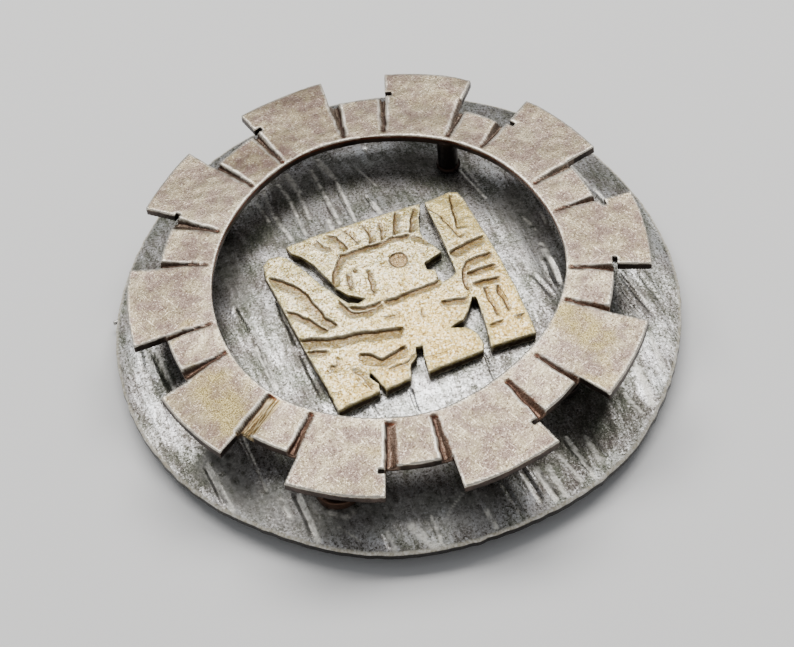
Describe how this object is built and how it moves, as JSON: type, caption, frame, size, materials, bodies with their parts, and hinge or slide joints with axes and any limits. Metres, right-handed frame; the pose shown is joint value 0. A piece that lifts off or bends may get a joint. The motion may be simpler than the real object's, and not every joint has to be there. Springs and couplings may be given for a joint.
{
  "type": "disc brooch",
  "caption": "Round brooch with a domed base disc, a raised ring of square tabs on posts, and a pierced and engraved figure plaque in the middle, lying on its back on its pin fitting.",
  "frame": {"origin": "on the surface that the brooch rests on, under the middle of the domed disc", "axes": "+Z out of the brooch's face, +X to the right and +Y to the top as the picture shows its face"},
  "size_m": [0.0503, 0.0501, 0.0095],
  "materials": {
    "disc_silver": "oxidised silver, hammered, pitted and chased, with bright rubbed places",
    "ring_silver": "matte pinkish grey tarnished silver with brown stains and fine scratches",
    "plaque_brass": "worn pale brass with brown patina in its cuts",
    "pin_metal": "plain dull grey wire and sheet"
  },
  "bodies": {
    "root": {"domed_disc": "disc_silver", "notched_ring": "ring_silver", "figure_plaque": "plaque_brass", "pin_back": "pin_metal"}
  },
  "joints": []
}
